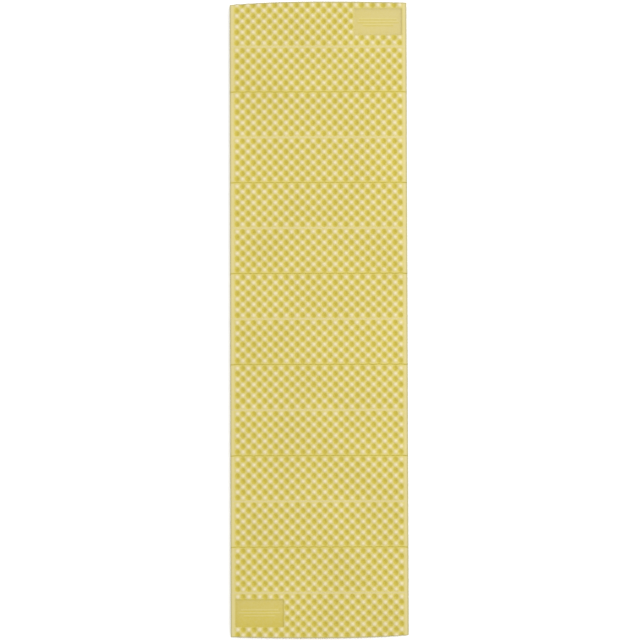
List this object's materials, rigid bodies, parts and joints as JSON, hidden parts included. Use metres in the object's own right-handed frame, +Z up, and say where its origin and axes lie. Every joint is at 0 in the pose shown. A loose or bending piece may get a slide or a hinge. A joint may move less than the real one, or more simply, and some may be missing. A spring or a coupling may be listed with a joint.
{
  "type": "folding foam sleeping pad",
  "caption": "Accordion-fold closed-cell foam sleeping pad: egg-crate panels joined by pressed living hinges, lying open; it folds into a nested block.",
  "frame": {"origin": "centre of the underside of the open pad, on the surface that it lies on", "axes": "+X across the width, +Y along the length towards panel_01, +Z up out of the sleeping face"},
  "size_m": [0.51, 1.83, 0.02],
  "materials": {
    "foam": "soft matt closed-cell polyethylene foam, warm yellow, with paler bumps, deeper yellow hollows and a fine moulded skin",
    "pressed_foam": "the same foam pressed thin and slightly smoother at the fold lines"
  },
  "bodies": {
    "section_01": {"panel_01": "foam", "hinge_web_01": "pressed_foam"},
    "section_02": {"panel_02": "foam", "hinge_web_02": "pressed_foam"},
    "section_03": {"panel_03": "foam", "hinge_web_03": "pressed_foam"},
    "section_04": {"panel_04": "foam", "hinge_web_04": "pressed_foam"},
    "section_05": {"panel_05": "foam", "hinge_web_05": "pressed_foam"},
    "section_06": {"panel_06": "foam", "hinge_web_06": "pressed_foam"},
    "section_07": {"panel_07": "foam", "hinge_web_07": "pressed_foam"},
    "section_08": {"panel_08": "foam", "hinge_web_08": "pressed_foam"},
    "section_09": {"panel_09": "foam", "hinge_web_09": "pressed_foam"},
    "section_10": {"panel_10": "foam", "hinge_web_10": "pressed_foam"},
    "section_11": {"panel_11": "foam", "hinge_web_11": "pressed_foam"},
    "section_12": {"panel_12": "foam", "hinge_web_12": "pressed_foam"},
    "section_13": {"panel_13": "foam", "hinge_web_13": "pressed_foam"},
    "section_14": {"panel_14": "foam"}
  },
  "joints": [
    {"name": "crease_01", "type": "hinge", "parent": "section_01", "child": "section_02", "pos_m": [0, 0.78429, 0.0152], "axis": [-1, 0, 0], "range_deg": [0, 179.5], "deforming": ["hinge_web_01"]},
    {"name": "crease_02", "type": "hinge", "parent": "section_02", "child": "section_03", "pos_m": [0, 0.65357, 0.0048], "axis": [1, 0, 0], "range_deg": [0, 179.5], "deforming": ["hinge_web_02"]},
    {"name": "crease_03", "type": "hinge", "parent": "section_03", "child": "section_04", "pos_m": [0, 0.52286, 0.0152], "axis": [-1, 0, 0], "range_deg": [0, 179.5], "deforming": ["hinge_web_03"]},
    {"name": "crease_04", "type": "hinge", "parent": "section_04", "child": "section_05", "pos_m": [0, 0.39214, 0.0048], "axis": [1, 0, 0], "range_deg": [0, 179.5], "deforming": ["hinge_web_04"]},
    {"name": "crease_05", "type": "hinge", "parent": "section_05", "child": "section_06", "pos_m": [0, 0.26143, 0.0152], "axis": [-1, 0, 0], "range_deg": [0, 179.5], "deforming": ["hinge_web_05"]},
    {"name": "crease_06", "type": "hinge", "parent": "section_06", "child": "section_07", "pos_m": [0, 0.13071, 0.0048], "axis": [1, 0, 0], "range_deg": [0, 179.5], "deforming": ["hinge_web_06"]},
    {"name": "crease_07", "type": "hinge", "parent": "section_07", "child": "section_08", "pos_m": [0, 0, 0.0152], "axis": [-1, 0, 0], "range_deg": [0, 179.5], "deforming": ["hinge_web_07"]},
    {"name": "crease_08", "type": "hinge", "parent": "section_08", "child": "section_09", "pos_m": [0, -0.13071, 0.0048], "axis": [1, 0, 0], "range_deg": [0, 179.5], "deforming": ["hinge_web_08"]},
    {"name": "crease_09", "type": "hinge", "parent": "section_09", "child": "section_10", "pos_m": [0, -0.26143, 0.0152], "axis": [-1, 0, 0], "range_deg": [0, 179.5], "deforming": ["hinge_web_09"]},
    {"name": "crease_10", "type": "hinge", "parent": "section_10", "child": "section_11", "pos_m": [0, -0.39214, 0.0048], "axis": [1, 0, 0], "range_deg": [0, 179.5], "deforming": ["hinge_web_10"]},
    {"name": "crease_11", "type": "hinge", "parent": "section_11", "child": "section_12", "pos_m": [0, -0.52286, 0.0152], "axis": [-1, 0, 0], "range_deg": [0, 179.5], "deforming": ["hinge_web_11"]},
    {"name": "crease_12", "type": "hinge", "parent": "section_12", "child": "section_13", "pos_m": [0, -0.65357, 0.0048], "axis": [1, 0, 0], "range_deg": [0, 179.5], "deforming": ["hinge_web_12"]},
    {"name": "crease_13", "type": "hinge", "parent": "section_13", "child": "section_14", "pos_m": [0, -0.78429, 0.0152], "axis": [-1, 0, 0], "range_deg": [0, 179.5], "deforming": ["hinge_web_13"]}
  ]
}
